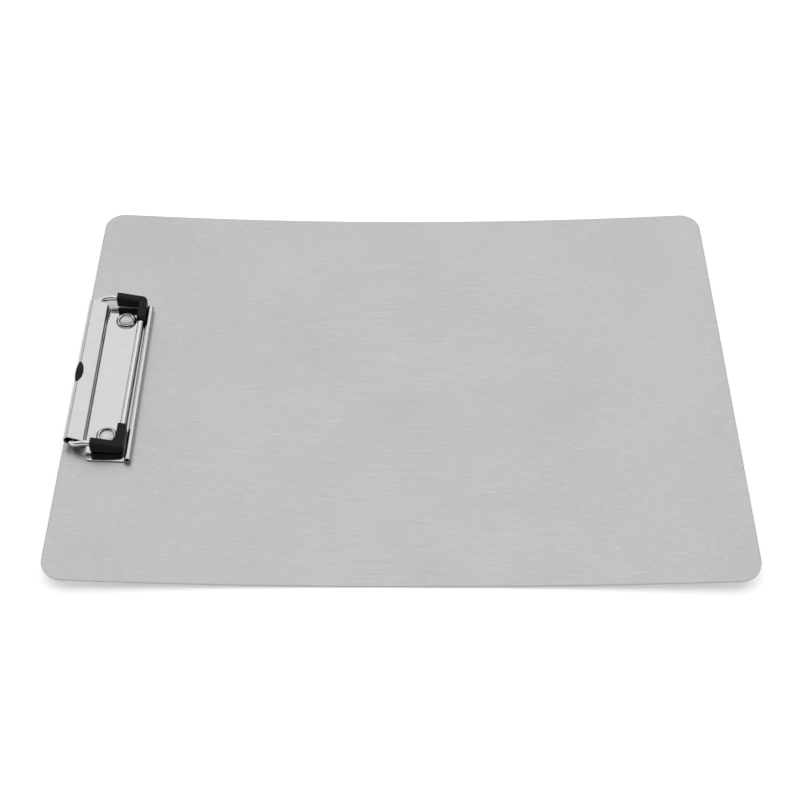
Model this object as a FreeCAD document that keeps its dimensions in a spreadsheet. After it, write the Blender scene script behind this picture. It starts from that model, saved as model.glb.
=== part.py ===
import FreeCAD, Part
import math
import os

import Sketcher
from FreeCAD import Placement, Rotation, Vector

# A4 clipboard: a bowed steel board with a sprung wire clip riveted across one short end.
# Board frame: X along the board, Y across it, Z up, origin under the lowest line of the bow.
# Clip frame: origin on the board's upper face under the middle of the clip base,
# X towards the writing area, Z square to the board there.

SIZES = {
    # Board
    "board_length": "315",
    "board_width": "225",
    "board_sheet": "0.8",
    "bow_rise": "5.8",
    "board_corner": "10",
    # Clip position on the board
    "clip_inset": "20",
    "clip_offset": "0.6",
    "clip_seat_gap": "0.05",
    # Clip base, one pressed sheet
    "base_sheet": "0.8",
    "base_length": "94.6",
    "base_shift": "2.6",
    "base_front": "10.75",
    "base_corner": "2.5",
    "front_bead": "1.65",
    "hinge_back": "11.6",
    "hinge_height": "2.6",
    "hinge_bead": "1.7",
    "hinge_setback": "2.8",
    "front_roll_end": "200",
    "hinge_roll_end": "285",
    # Rivets
    "rivet_setback": "6.1",
    "rivet_back": "0.5",
    "rivet_shank": "3.4",
    "rivet_flange": "5.1",
    "rivet_rise": "1.3",
    "rivet_bore": "3.1",
    "rivet_bore_floor": "0.25",
    "rivet_tail": "4.6",
    "rivet_tail_rise": "0.8",
    "rivet_clearance": "0.1",
    # Lever, one folded sheet
    "lever_sheet": "0.6",
    "lever_setback": "0.1",
    "fold_reach": "5.35",
    "fold_height": "4.4",
    "upper_lip": "60",
    "lower_lip": "-95",
    "hinge_clearance": "0.06",
    "fold_clearance": "0.6",
    # Bail, one bent spring wire
    "wire_radius": "1.4",
    "bail_overhang": "3.35",
    "bail_shift": "1.45",
    "bail_reach": "3.9",
    "bail_front": "6.85",
    "bail_front_height": "3.2",
    "bail_bend": "3.2",
    "bail_knee_back": "8.2",
    "bail_knee_height": "5.9",
    "bail_knee_bend": "7",
    "bail_end_gap": "17",
    # Corner sleeves
    "sleeve_wall": "0.55",
    "sleeve_crown": "0.7",
    "sleeve_back": "13",
    "sleeve_side": "14.4",
    "sleeve_corner": "2.5",
    "sleeve_edge": "0.9",
    "sleeve_seat_gap": "0.3",
    "sleeve_heel_lift": "0.6",
    "sleeve_clearance": "0.03",
    # Bumper in the fold
    "bumper_length": "16.4",
    "bumper_bulge": "0.5",
    "bumper_width": "3.4",
    "bumper_turn": "100",
    "bumper_shift": "2.5",
    "bumper_clearance": "0.1",
    # Leaf spring under the lever
    "leaf_sheet": "0.3",
    "leaf_width": "24",
    "leaf_bow": "6",
    "leaf_toe": "1.5",
    "leaf_flat": "2",
    "leaf_tip_turn": "32.5",
    "leaf_clearance": "0.06",
}

doc = FreeCAD.newDocument("clipboard")
sheet = doc.addObject("Spreadsheet::Sheet", "dims")
for row, (alias, value) in enumerate(SIZES.items(), start=1):
    cell = f"A{row}"
    sheet.set(cell, value)
    sheet.setAlias(cell, alias)
doc.recompute()


def size(alias):
    """A driving dimension read from the sheet, in millimetres or degrees."""
    return float(sheet.get(alias))


def bind(item, **expressions):
    """Ties an object's properties to the sheet; a double underscore stands for a dot."""
    for path, expression in expressions.items():
        item.setExpression(path.replace("__", "."), expression)


# Radius of the bowed upper face, and the clip's place and slope on it
BOW_RADIUS = "((dims.board_length ^ 2 / 4 + dims.bow_rise ^ 2) / (2 * dims.bow_rise))"
CLIP_X = "(dims.clip_inset - dims.board_length / 2)"
CLIP_SINE = f"({CLIP_X} / {BOW_RADIUS})"
CLIP_Z = f"(dims.board_sheet + dims.clip_seat_gap + {BOW_RADIUS} * (1 - sqrt(1 - {CLIP_SINE} ^ 2)))"
CLIP_TILT = f"(-asin({CLIP_SINE}))"
ACROSS = Vector(0, 1, 0)


def seat_on_board(item, label):
    """Names a clip piece and sets its clip frame on the bowed board."""
    item.Label = label
    item.Placement = Placement(Vector(), Rotation(ACROSS, 1))
    bind(item, Placement__Base__x=CLIP_X + " * 1 mm", Placement__Base__y="dims.clip_offset * 1 mm",
         Placement__Base__z=CLIP_Z + " * 1 mm", Placement__Rotation__Angle=CLIP_TILT)


class Profile:
    """A sketch on one of its body's origin planes, drawn near its shape and then constrained."""

    def __init__(self, body, name, plane):
        self.sketch = body.newObject("Sketcher::SketchObject", name)
        origin = [item for item in body.Origin.OriginFeatures if item.Role == plane][0]
        self.sketch.AttachmentSupport = [(origin, "")]
        self.sketch.MapMode = "FlatFace"

    def line(self, start, end):
        return self.sketch.addGeometry(Part.LineSegment(Vector(*start, 0), Vector(*end, 0)))

    def arc(self, centre, radius, first, last):
        circle = Part.Circle(Vector(*centre, 0), Vector(0, 0, 1), radius)
        return self.sketch.addGeometry(Part.ArcOfCircle(circle, math.radians(first), math.radians(last)))

    def circle(self, centre, radius):
        return self.sketch.addGeometry(Part.Circle(Vector(*centre, 0), Vector(0, 0, 1), radius))

    def fix(self, kind, *where):
        self.sketch.addConstraint(Sketcher.Constraint(kind, *where))

    def measure(self, kind, where, start, expression):
        index = self.sketch.addConstraint(Sketcher.Constraint(kind, *where, start))
        self.sketch.setExpression(f"Constraints[{index}]", expression)

    def place(self, geometry, point, at, across, up):
        """Ties one point's two coordinates to the sheet."""
        self.measure("DistanceX", (-1, 1, geometry, point), at[0], across)
        self.measure("DistanceY", (-1, 1, geometry, point), at[1], up)


# Share of the metal that a rivet's bevelled edges take
CROWN_BEVEL = 0.42
FOOT_BEVEL = 0.6
# Which point of a sketch element a constraint takes
START, END, CENTRE = range(1, 4)
# The sketch's own upright axis
UPRIGHT_AXIS = -END


def pad(body, profile, length, side="Symmetric"):
    feature = body.newObject("PartDesign::Pad", profile.sketch.Name + "Pad")
    feature.Profile = profile.sketch
    feature.SideType = side
    bind(feature, Length=length)
    doc.recompute()
    return feature


def rectangle(profile, low, high, low_expressions, high_expressions):
    """A rectangle whose two opposite corners are tied to the sheet."""
    bottom = profile.line(low, (high[0], low[1]))
    right = profile.line((high[0], low[1]), high)
    top = profile.line(high, (low[0], high[1]))
    left = profile.line((low[0], high[1]), low)
    sides = (bottom, right, top, left)
    for first, second in zip(sides, sides[1:] + sides[:1]):
        profile.fix("Coincident", first, END, second, START)
    for flat in (bottom, top):
        profile.fix("Horizontal", flat)
    for upright in (right, left):
        profile.fix("Vertical", upright)
    profile.place(bottom, START, low, *low_expressions)
    profile.place(right, END, high, *high_expressions)
    return sides


def on_circle(centre, radius, angle):
    """The point of a circle at an angle in degrees."""
    turn = math.radians(angle)
    return (centre[0] + radius * math.cos(turn), centre[1] + radius * math.sin(turn))


def curl(profile, centre, outer, inner, first, roll_end, place, outer_size, inner_size):
    """A rolled edge: two arcs about one centre, closed by radial ends at two angles."""
    last = size(roll_end)
    outside = profile.arc(centre, outer, first, last)
    inside = profile.arc(centre, inner, first, last)
    profile.fix("Coincident", outside, CENTRE, inside, CENTRE)
    profile.place(outside, CENTRE, centre, *place)
    profile.measure("Radius", (outside,), outer, outer_size)
    profile.measure("Radius", (inside,), inner, inner_size)
    for angle, point, turn in ((first, START, str(first)), (last, END, f"dims.{roll_end}")):
        radial = profile.line(on_circle(centre, inner, angle), on_circle(centre, outer, angle))
        profile.fix("Coincident", radial, START, inside, point)
        profile.fix("Coincident", radial, END, outside, point)
        profile.fix("PointOnObject", outside, CENTRE, radial)
        profile.measure("Angle", (radial,), math.radians(angle), f"{turn} * 1 deg")


def edges_where(shape, wanted):
    """Names of the edges whose middle point and length pass a test."""
    names = []
    for number, edge in enumerate(shape.Edges, start=1):
        middle = edge.valueAt((edge.FirstParameter + edge.LastParameter) / 2)
        if wanted(middle, edge):
            names.append(f"Edge{number}")
    return names


def round_edges(body, base, name, edge_names, radius):
    feature = body.newObject("PartDesign::Fillet", name)
    feature.Base = (base, edge_names)
    bind(feature, Radius=radius)
    body.Tip = feature
    doc.recompute()
    return feature


def bevel_edges(body, base, name, edge_names, depth):
    feature = body.newObject("PartDesign::Chamfer", name)
    feature.Base = (base, edge_names)
    bind(feature, Size=depth)
    body.Tip = feature
    doc.recompute()
    return feature


def across_cylinder(name, radius, length, x, z):
    """A cylinder along Y, centred on the bumper's middle."""
    rod = doc.addObject("Part::Cylinder", name)
    rod.Placement = Placement(Vector(), Rotation(Vector(1, 0, 0), -90))
    bind(rod, Radius=radius, Height=length, Placement__Base__x=x + " * 1 mm",
         Placement__Base__y=f"(-({length}) / 2 - dims.bumper_shift) * 1 mm", Placement__Base__z=z + " * 1 mm")
    return rod


def upright_cylinder(name, radius, height, y, z):
    """A cylinder along Z on the clip's rivet line."""
    rod = doc.addObject("Part::Cylinder", name)
    bind(rod, Radius=radius, Height=height, Placement__Base__x="-dims.rivet_back * 1 mm",
         Placement__Base__y=y + " * 1 mm", Placement__Base__z=z + " * 1 mm")
    return rod


def join(name, pieces):
    result = doc.addObject("Part::MultiFuse", name)
    result.Shapes = pieces
    return result


def shared(name, pieces):
    result = doc.addObject("Part::MultiCommon", name)
    result.Shapes = pieces
    return result


def cut(name, base, tool):
    result = doc.addObject("Part::Cut", name)
    result.Base = base
    result.Tool = tool
    return result


# Half the hinge, which the base's nearer end limits, and what is set out from it across the clip
HINGE_HALF = "(dims.base_length / 2 - dims.base_shift - dims.hinge_setback)"
BAIL_HALF = f"({HINGE_HALF} + dims.bail_overhang)"
RIVET_HALF = f"({HINGE_HALF} - dims.rivet_setback)"
RIVET_ENDS = {"far": RIVET_HALF, "near": "-" + RIVET_HALF}


def hinge_half():
    return size("base_length") / 2 - size("base_shift") - size("hinge_setback")


# Board: a strip bent to a wide arc, its corners rounded, with two rivet holes
def make_board():
    body = doc.addObject("PartDesign::Body", "BoardSheet")
    profile = Profile(body, "BowSection", "XZ_Plane")
    half = size("board_length") / 2
    rise = size("bow_rise")
    thick = size("board_sheet")
    radius = (half ** 2 + rise ** 2) / (2 * rise)
    centre = (0, radius + thick)
    lean = math.degrees(math.asin(half / radius))
    upper = profile.arc(centre, radius, 270 - lean, 270 + lean)
    lower = profile.arc(centre, radius + thick, 270 - lean, 270 + lean)
    profile.fix("Coincident", upper, CENTRE, lower, CENTRE)
    profile.fix("PointOnObject", upper, CENTRE, UPRIGHT_AXIS)
    profile.measure("Radius", (upper,), radius, BOW_RADIUS)
    profile.measure("Radius", (lower,), radius + thick, f"{BOW_RADIUS} + dims.board_sheet")
    profile.measure("DistanceY", (-1, 1, upper, CENTRE), centre[1], f"{BOW_RADIUS} + dims.board_sheet")
    for point, side in ((START, -1), (END, 1)):
        end = profile.line((side * half, rise), (side * half, rise + thick))
        profile.fix("Coincident", end, START, lower, point)
        profile.fix("Coincident", end, END, upper, point)
        profile.fix("Vertical", end)
        profile.measure("DistanceX", (-1, 1, upper, point), side * half, f"{side} * dims.board_length / 2")
    pad(body, profile, "dims.board_width")
    plan = doc.addObject("PartDesign::Body", "BoardPlan")
    outline = Profile(plan, "BoardOutline", "XY_Plane")
    wide = size("board_width") / 2
    rectangle(outline, (-half, -wide), (half, wide), ("-dims.board_length / 2", "-dims.board_width / 2"),
              ("dims.board_length / 2", "dims.board_width / 2"))
    block = pad(plan, outline, "dims.bow_rise + 2 * dims.board_sheet", "One side")
    corners = edges_where(block.Shape, lambda middle, edge: edge.tangentAt(edge.FirstParameter).z ** 2 > 0.5)
    round_edges(plan, block, "BoardCorners", corners, "dims.board_corner")
    bowed = shared("board_blank", [body, plan])
    holes = []
    for end, place in RIVET_ENDS.items():
        hole = upright_cylinder(f"board_hole_{end}", "dims.rivet_shank + dims.rivet_clearance",
                                "4 * dims.board_sheet", place, "-3 * dims.board_sheet")
        holes.append(hole)
    drill = join("board_holes", holes)
    seat_on_board(drill, "board_holes")
    board = cut("board", bowed, drill)
    board.Label = "board"
    return board


# Clip base: flat floor, front edge rolled up into a bead, rear edge turned up and rolled as a hinge
def make_base():
    body = doc.addObject("PartDesign::Body", "BaseSheet")
    thick = size("base_sheet")
    half = size("base_length") / 2
    front = size("base_front")
    back = -size("hinge_back") + size("hinge_bead")
    floor = Profile(body, "BaseFloor", "XY_Plane")
    wall_front = "-dims.hinge_back + dims.hinge_bead"
    wall_back = f"{wall_front} - dims.base_sheet"
    shift = size("base_shift")
    rectangle(floor, (back - thick, -half - shift), (front, half - shift),
              (wall_back, "-dims.base_length / 2 - dims.base_shift"),
              ("dims.base_front", "dims.base_length / 2 - dims.base_shift"))
    for place in RIVET_ENDS.values():
        middle = (hinge_half() - size("rivet_setback")) * (-1 if place.startswith("-") else 1)
        hole = floor.circle((-size("rivet_back"), middle), size("rivet_shank"))
        floor.place(hole, CENTRE, (-size("rivet_back"), middle), "-dims.rivet_back", place)
        floor.measure("Radius", (hole,), size("rivet_shank"), "dims.rivet_shank + dims.rivet_clearance")
    plate = pad(body, floor, "dims.base_sheet", "One side")
    rear_corners = edges_where(plate.Shape, lambda middle, edge: abs(middle.x - back + thick) < thick / 8
                               and edge.Length < 2 * thick)
    round_edges(body, plate, "BaseCorners", rear_corners, "dims.base_corner")
    bead = Profile(body, "FrontBead", "XZ_Plane")
    bind(bead.sketch, AttachmentOffset__Base__z="dims.base_shift * 1 mm")
    radius = size("front_bead")
    curl(bead, (front, radius), radius, radius - thick, -90, "front_roll_end",
         ("dims.base_front", "dims.front_bead"), "dims.front_bead", "dims.front_bead - dims.base_sheet")
    pad(body, bead, "dims.base_length")
    wall = Profile(body, "HingeWall", "XZ_Plane")
    height = size("hinge_height")
    rectangle(wall, (back - thick, 0), (back, height), (wall_back, "0"), (wall_front, "dims.hinge_height"))
    raised = pad(body, wall, f"2 * {HINGE_HALF}")
    bend = edges_where(raised.Shape, lambda middle, edge: abs(middle.x - back) < thick / 8
                       and abs(middle.z - thick) < thick / 8 and edge.Length > half)
    round_edges(body, raised, "HingeBend", bend, "dims.base_sheet")
    roll = Profile(body, "HingeRoll", "XZ_Plane")
    outer = size("hinge_bead")
    curl(roll, (-size("hinge_back"), height), outer, outer - thick, 0, "hinge_roll_end",
         ("-dims.hinge_back", "dims.hinge_height"), "dims.hinge_bead", "dims.hinge_bead - dims.base_sheet")
    pad(body, roll, f"2 * {HINGE_HALF}")
    seat_on_board(body, "clip_base")
    return body


# Rivet: a flange ring on the base, a blind bore, a shank through base and board, a set tail below
def make_rivet(end, place):
    body = doc.addObject("PartDesign::Body", f"Rivet_{end}")
    section = Profile(body, f"RivetSection_{end}", "XZ_Plane")
    seat = "dims.base_sheet"
    under = "-(dims.board_sheet + dims.clip_seat_gap)"
    low = f"{under} - dims.rivet_tail_rise"
    top = f"{seat} + dims.rivet_rise"
    floor = f"{seat} + dims.rivet_bore_floor"
    values = {
        "seat": size("base_sheet"),
        "under": -size("board_sheet") - size("clip_seat_gap"),
        "low": -size("board_sheet") - size("clip_seat_gap") - size("rivet_tail_rise"),
        "top": size("base_sheet") + size("rivet_rise"),
        "floor": size("base_sheet") + size("rivet_bore_floor"),
    }
    shank, flange, bore, tail = (size("rivet_" + part) for part in ("shank", "flange", "bore", "tail"))
    corners = [
        ((0, values["low"]), ("0", low)),
        ((tail, values["low"]), ("dims.rivet_tail", low)),
        ((tail, values["under"]), ("dims.rivet_tail", under)),
        ((shank, values["under"]), ("dims.rivet_shank", under)),
        ((shank, values["seat"]), ("dims.rivet_shank", seat)),
        ((flange, values["seat"]), ("dims.rivet_flange", seat)),
        ((flange, values["top"]), ("dims.rivet_flange", top)),
        ((bore, values["top"]), ("dims.rivet_bore", top)),
        ((bore, values["floor"]), ("dims.rivet_bore", floor)),
        ((0, values["floor"]), ("0", floor)),
    ]
    lines = []
    for (start, _), (finish, _) in zip(corners, corners[1:] + corners[:1]):
        lines.append(section.line(start, finish))
    for first, second in zip(lines, lines[1:] + lines[:1]):
        section.fix("Coincident", first, END, second, START)
    for line, (at, expressions) in zip(lines, corners):
        section.place(line, START, at, *expressions)
    turned = body.newObject("PartDesign::Revolution", f"RivetTurned_{end}")
    turned.Profile = section.sketch
    turned.ReferenceAxis = (section.sketch, ["V_Axis"])
    turned.Angle = 360
    doc.recompute()
    ring = edges_where(turned.Shape, lambda middle, edge: abs(middle.z - values["top"]) < values["floor"] / 8)
    crown = bevel_edges(body, turned, f"RivetCrown_{end}", ring,
                        f"{CROWN_BEVEL} * min(dims.rivet_rise; dims.rivet_flange - dims.rivet_bore)")
    foot = edges_where(crown.Shape, lambda middle, edge: abs(middle.z - values["low"]) < values["floor"] / 8)
    bevel_edges(body, crown, f"RivetFoot_{end}", foot, f"{FOOT_BEVEL} * dims.rivet_tail_rise")
    placed = doc.addObject("Part::Compound", f"rivet_at_{end}")
    placed.Links = [body]
    bind(body, Placement__Base__x="-dims.rivet_back * 1 mm", Placement__Base__y=place + " * 1 mm")
    seat_on_board(placed, f"rivet_{end}")
    return placed


HINGE_X = "(-dims.hinge_back)"
FOLD_X = "(-dims.hinge_back - dims.fold_reach)"
FOLD_RADIUS = "(dims.wire_radius + dims.fold_clearance + dims.lever_sheet)"
LIP_RADIUS = "(dims.hinge_bead + dims.hinge_clearance)"
# The bail's rear bar lies in the lever on the line from the hinge to the fold
FOLD_RISE = "(dims.fold_height - dims.hinge_height)"
BAR_SHARE = f"(dims.bail_reach / sqrt(dims.fold_reach ^ 2 + {FOLD_RISE} ^ 2))"
BAR_X = f"({HINGE_X} - dims.fold_reach * {BAR_SHARE})"
BAR_Z = f"(dims.hinge_height + {FOLD_RISE} * {BAR_SHARE})"


# Lever: one sheet folded round the wire at the rear, both edges gripping the hinge bead in front
def make_lever(bumper_room):
    body = doc.addObject("PartDesign::Body", "LeverSheet")
    section = Profile(body, "LeverSection", "XZ_Plane")
    thick = size("lever_sheet")
    hinge = (-size("hinge_back"), size("hinge_height"))
    fold = (hinge[0] - size("fold_reach"), size("fold_height"))
    fold_inner = size("wire_radius") + size("fold_clearance")
    lip_inner = size("hinge_bead") + size("hinge_clearance")
    span = math.hypot(hinge[0] - fold[0], hinge[1] - fold[1])
    slope = math.degrees(math.atan2(hinge[1] - fold[1], hinge[0] - fold[0]))
    splay = math.degrees(math.asin((lip_inner - fold_inner) / span))
    top = slope + 90 + splay
    bottom = slope - 90 - splay
    upper_lip, lower_lip = size("upper_lip"), size("lower_lip")
    arcs, lines = {}, {}
    for layer, extra in (("in", 0), ("out", thick)):
        fold_radius, lip_radius = fold_inner + extra, lip_inner + extra
        arcs["fold", layer] = section.arc(fold, fold_radius, top, bottom + 360)
        arcs["upper", layer] = section.arc(hinge, lip_radius, upper_lip, top)
        arcs["lower", layer] = section.arc(hinge, lip_radius, bottom, lower_lip)
        for side, angle in (("top", top), ("bottom", bottom)):
            lines[side, layer] = section.line(on_circle(fold, fold_radius, angle),
                                              on_circle(hinge, lip_radius, angle))
        section.fix("Tangent", arcs["fold", layer], START, lines["top", layer], START)
        section.fix("Tangent", arcs["upper", layer], END, lines["top", layer], END)
        section.fix("Tangent", arcs["fold", layer], END, lines["bottom", layer], START)
        section.fix("Tangent", arcs["lower", layer], START, lines["bottom", layer], END)
        sheet_part = " + dims.lever_sheet" if extra else ""
        section.measure("Radius", (arcs["fold", layer],), fold_radius,
                        "dims.wire_radius + dims.fold_clearance" + sheet_part)
        for lip in ("upper", "lower"):
            section.measure("Radius", (arcs[lip, layer],), lip_radius, LIP_RADIUS + sheet_part)
    section.fix("Coincident", arcs["fold", "in"], CENTRE, arcs["fold", "out"], CENTRE)
    for other in (("upper", "out"), ("lower", "in"), ("lower", "out")):
        section.fix("Coincident", arcs["upper", "in"], CENTRE, arcs[other], CENTRE)
    section.place(arcs["fold", "in"], CENTRE, fold, FOLD_X, "dims.fold_height")
    section.place(arcs["upper", "in"], CENTRE, hinge, HINGE_X, "dims.hinge_height")
    for lip, angle, point in (("upper", upper_lip, START), ("lower", lower_lip, END)):
        edge = section.line(on_circle(hinge, lip_inner, angle), on_circle(hinge, lip_inner + thick, angle))
        section.fix("Coincident", edge, START, arcs[lip, "in"], point)
        section.fix("Coincident", edge, END, arcs[lip, "out"], point)
        section.fix("PointOnObject", arcs["upper", "in"], CENTRE, edge)
        section.measure("Angle", (edge,), math.radians(angle), f"dims.{lip}_lip * 1 deg")
    pad(body, section, f"2 * ({HINGE_HALF} - dims.lever_setback)")
    window = doc.addObject("Part::Box", "leaf_window")
    room = "(dims.leaf_width + 2 * dims.lever_sheet)"
    bind(window, Length="3 * dims.hinge_bead + dims.lever_sheet", Width=room,
         Height="dims.hinge_height - 0.5 * dims.hinge_bead + dims.lever_sheet",
         Placement__Base__x=f"({HINGE_X} - 2 * dims.hinge_bead) * 1 mm",
         Placement__Base__y=f"-{room} / 2 * 1 mm", Placement__Base__z="-dims.lever_sheet * 1 mm")
    lever = cut("lever_cut", body, join("lever_openings", [window, bumper_room]))
    seat_on_board(lever, "lever")
    return lever


def bail_points():
    """Centre line of the bail from its rear bar's middle round the front and back again."""
    side = hinge_half() + size("bail_overhang")
    rise = size("fold_height") - size("hinge_height")
    share = size("bail_reach") / math.hypot(size("fold_reach"), rise)
    rear = (-size("hinge_back") - size("fold_reach") * share, size("hinge_height") + rise * share)
    knee = (-size("bail_knee_back"), size("bail_knee_height"))
    front = (size("bail_front"), size("bail_front_height"))
    aside = size("bail_shift")
    far = [Vector(x, aside + side, z) for x, z in (rear, knee, front)]
    near = [Vector(x, aside - side, z) for x, z in (front, knee, rear)]
    half_gap, shift = size("bail_end_gap") / 2, size("bumper_shift")
    first = Vector(rear[0], half_gap - shift, rear[1])
    last = Vector(rear[0], -half_gap - shift, rear[1])
    return [first] + far + near + [last]


def bent_wire(points, radii):
    """Straight runs joined by tangent arcs of the given radii at the inner points."""
    edges = []
    last = points[0]
    for before, corner, after, radius in zip(points, points[1:], points[2:], radii):
        back = (before - corner).normalize()
        ahead = (after - corner).normalize()
        half_turn = math.acos(max(-1, min(1, back.dot(ahead)))) / 2
        reach = radius / math.tan(half_turn)
        start = corner + back * reach
        finish = corner + ahead * reach
        inward = (back + ahead).normalize()
        middle = corner + inward * (radius / math.sin(half_turn) - radius)
        edges.append(Part.LineSegment(last, start).toShape())
        edges.append(Part.Arc(start, middle, finish).toShape())
        last = finish
    edges.append(Part.LineSegment(last, points[-1]).toShape())
    return Part.Wire(edges)


def swept_wire(name, path, radius):
    """A round section carried along the bail's centre line."""
    section = doc.addObject("Part::Circle", name + "_section")
    bind(section, Radius=radius, Placement__Base__x=BAR_X + " * 1 mm",
         Placement__Base__y="(dims.bail_end_gap / 2 - dims.bumper_shift) * 1 mm",
         Placement__Base__z=BAR_Z + " * 1 mm")
    section.Placement = Placement(Vector(), Rotation(Vector(1, 0, 0), -90))
    sweep = doc.addObject("Part::Sweep", name)
    sweep.Sections = [section]
    sweep.Spine = (path, [f"Edge{number + 1}" for number in range(len(path.Shape.Edges))])
    sweep.Solid = True
    return sweep


def make_bail():
    path = doc.addObject("Part::Feature", "bail_path")
    bend, knee = size("bail_bend"), size("bail_knee_bend")
    path.Shape = bent_wire(bail_points(), [bend, knee, bend, bend, knee, bend])
    bail = swept_wire("bail_sweep", path, "dims.wire_radius")
    bore = swept_wire("sleeve_bore", path, "dims.wire_radius + dims.sleeve_clearance")
    seat_on_board(bail, "bail_wire")
    return bail, bore


SLEEVE_HALF = "(dims.wire_radius + dims.sleeve_wall)"
SLEEVE_FRONT = f"(dims.bail_front + {SLEEVE_HALF})"
SLEEVE_BACK = "(dims.bail_front - dims.sleeve_back)"
SLEEVE_SEAT = "(dims.base_sheet + dims.sleeve_seat_gap)"
SLEEVE_TOP = f"(dims.bail_front_height + {SLEEVE_HALF} + dims.sleeve_crown)"
SLEEVE_HEEL_TOP = f"(dims.bail_knee_height + {SLEEVE_HALF} + dims.sleeve_crown)"


# Corner sleeve: a moulded L over one front corner of the bail, wedge-shaped along the bail's arm
def make_sleeve(end, side, bore):
    body = doc.addObject("PartDesign::Body", f"Sleeve_{end}")
    half = size("wire_radius") + size("sleeve_wall")
    front = size("bail_front") + half
    back = size("bail_front") - size("sleeve_back")
    seat = size("base_sheet") + size("sleeve_seat_gap")
    top = size("bail_front_height") + half + size("sleeve_crown")
    heel = seat + size("sleeve_heel_lift")
    heel_top = size("bail_knee_height") + half + size("sleeve_crown")
    section = Profile(body, f"SleeveSide_{end}", "XZ_Plane")
    corners = [
        ((back, heel), (SLEEVE_BACK, f"{SLEEVE_SEAT} + dims.sleeve_heel_lift")),
        ((front, seat), (SLEEVE_FRONT, SLEEVE_SEAT)),
        ((front, top), (SLEEVE_FRONT, SLEEVE_TOP)),
        ((back, heel_top), (SLEEVE_BACK, SLEEVE_HEEL_TOP)),
    ]
    lines = []
    for (start, _), (finish, _) in zip(corners, corners[1:] + corners[:1]):
        lines.append(section.line(start, finish))
    for first, second in zip(lines, lines[1:] + lines[:1]):
        section.fix("Coincident", first, END, second, START)
    for line, (at, expressions) in zip(lines, corners):
        section.place(line, START, at, *expressions)
    outer = f"({BAIL_HALF} + {SLEEVE_HALF})"
    block = pad(body, section, "dims.sleeve_side", "One side")
    block.Reversed = side > 0
    doc.recompute()
    outer_y = side * size("sleeve_side")
    near_enough = half / 8
    upright = edges_where(block.Shape, lambda middle, edge: abs(middle.x - front) < near_enough
                          and abs(middle.y - outer_y) < near_enough
                          and abs(middle.z - (seat + top) / 2) < near_enough)
    rounded = round_edges(body, block, f"SleeveCorner_{end}", upright, "dims.sleeve_corner")
    rim = edges_where(rounded.Shape, lambda middle, edge: middle.z > seat + half
                      and abs(edge.tangentAt(edge.FirstParameter).z) < 0.5)
    round_edges(body, rounded, f"SleeveRim_{end}", rim, "dims.sleeve_edge")
    outside = f"{outer} - dims.sleeve_side"
    bind(body, Placement__Base__y=f"({side} * ({outside}) + dims.bail_shift) * 1 mm")
    notch = doc.addObject("Part::Box", f"sleeve_notch_{end}")
    tall = f"({SLEEVE_HEEL_TOP} + dims.sleeve_wall)"
    deep = f"(dims.sleeve_side - 2 * {SLEEVE_HALF} + dims.sleeve_wall)"
    edge = f"({outer} - 2 * {SLEEVE_HALF})" if side > 0 else f"(-{outer} + 2 * {SLEEVE_HALF} + {deep})"
    bind(notch, Length=f"dims.sleeve_back - {SLEEVE_HALF} + dims.sleeve_wall", Width=deep, Height=tall,
         Placement__Base__x=f"({SLEEVE_BACK} - dims.sleeve_wall) * 1 mm",
         Placement__Base__y=f"({edge} - {deep} + dims.bail_shift) * 1 mm")
    sleeve = cut(f"sleeve_cut_{end}", body, join(f"sleeve_room_{end}", [notch, bore]))
    seat_on_board(sleeve, f"corner_sleeve_{end}")
    return sleeve


def lens_sides(name, extra):
    """Two wide cylinders that lean up and back out of the fold; what they share is lens-shaped in plan."""
    half = f"(dims.bumper_length / 2 + {extra})"
    sag = f"(dims.bumper_width / 2 + {extra})"
    radius = f"(({half} ^ 2 + {sag} ^ 2) / (2 * {sag}))"
    sides = []
    step = f"({radius} - {sag})"
    for side, across, up in (("front", "-", "+"), ("rear", "+", "-")):
        rod = doc.addObject("Part::Cylinder", f"{name}_{side}")
        rod.Placement = Placement(Vector(), Rotation(ACROSS, 1))
        bind(rod, Radius=radius, Height=f"{FOLD_RADIUS} + 2 * dims.bumper_bulge",
             Placement__Base__x=f"({FOLD_X} {across} {step} * sin(dims.bumper_turn)) * 1 mm",
             Placement__Base__y="-dims.bumper_shift * 1 mm",
             Placement__Base__z=f"(dims.fold_height {up} {step} * cos(dims.bumper_turn)) * 1 mm",
             Placement__Rotation__Angle="90 - dims.bumper_turn")
        sides.append(rod)
    return sides


# Bumper: a plug in the fold between the wire's ends, with a lens-shaped head that stands out of the fold
def make_bumper():
    core = across_cylinder("bumper_core", "dims.wire_radius", "dims.bail_end_gap - 2 * dims.bumper_clearance",
                           FOLD_X, "dims.fold_height")
    crown = across_cylinder("bumper_crown", f"{FOLD_RADIUS} + dims.bumper_bulge", "dims.bail_end_gap",
                            FOLD_X, "dims.fold_height")
    head = shared("bumper_head", lens_sides("bumper_side", "0") + [crown])
    bumper = join("bumper_plug", [core, head])
    seat_on_board(bumper, "lever_bumper")
    return bumper, shared("bumper_room", lens_sides("bumper_room_side", "dims.bumper_clearance"))


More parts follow.
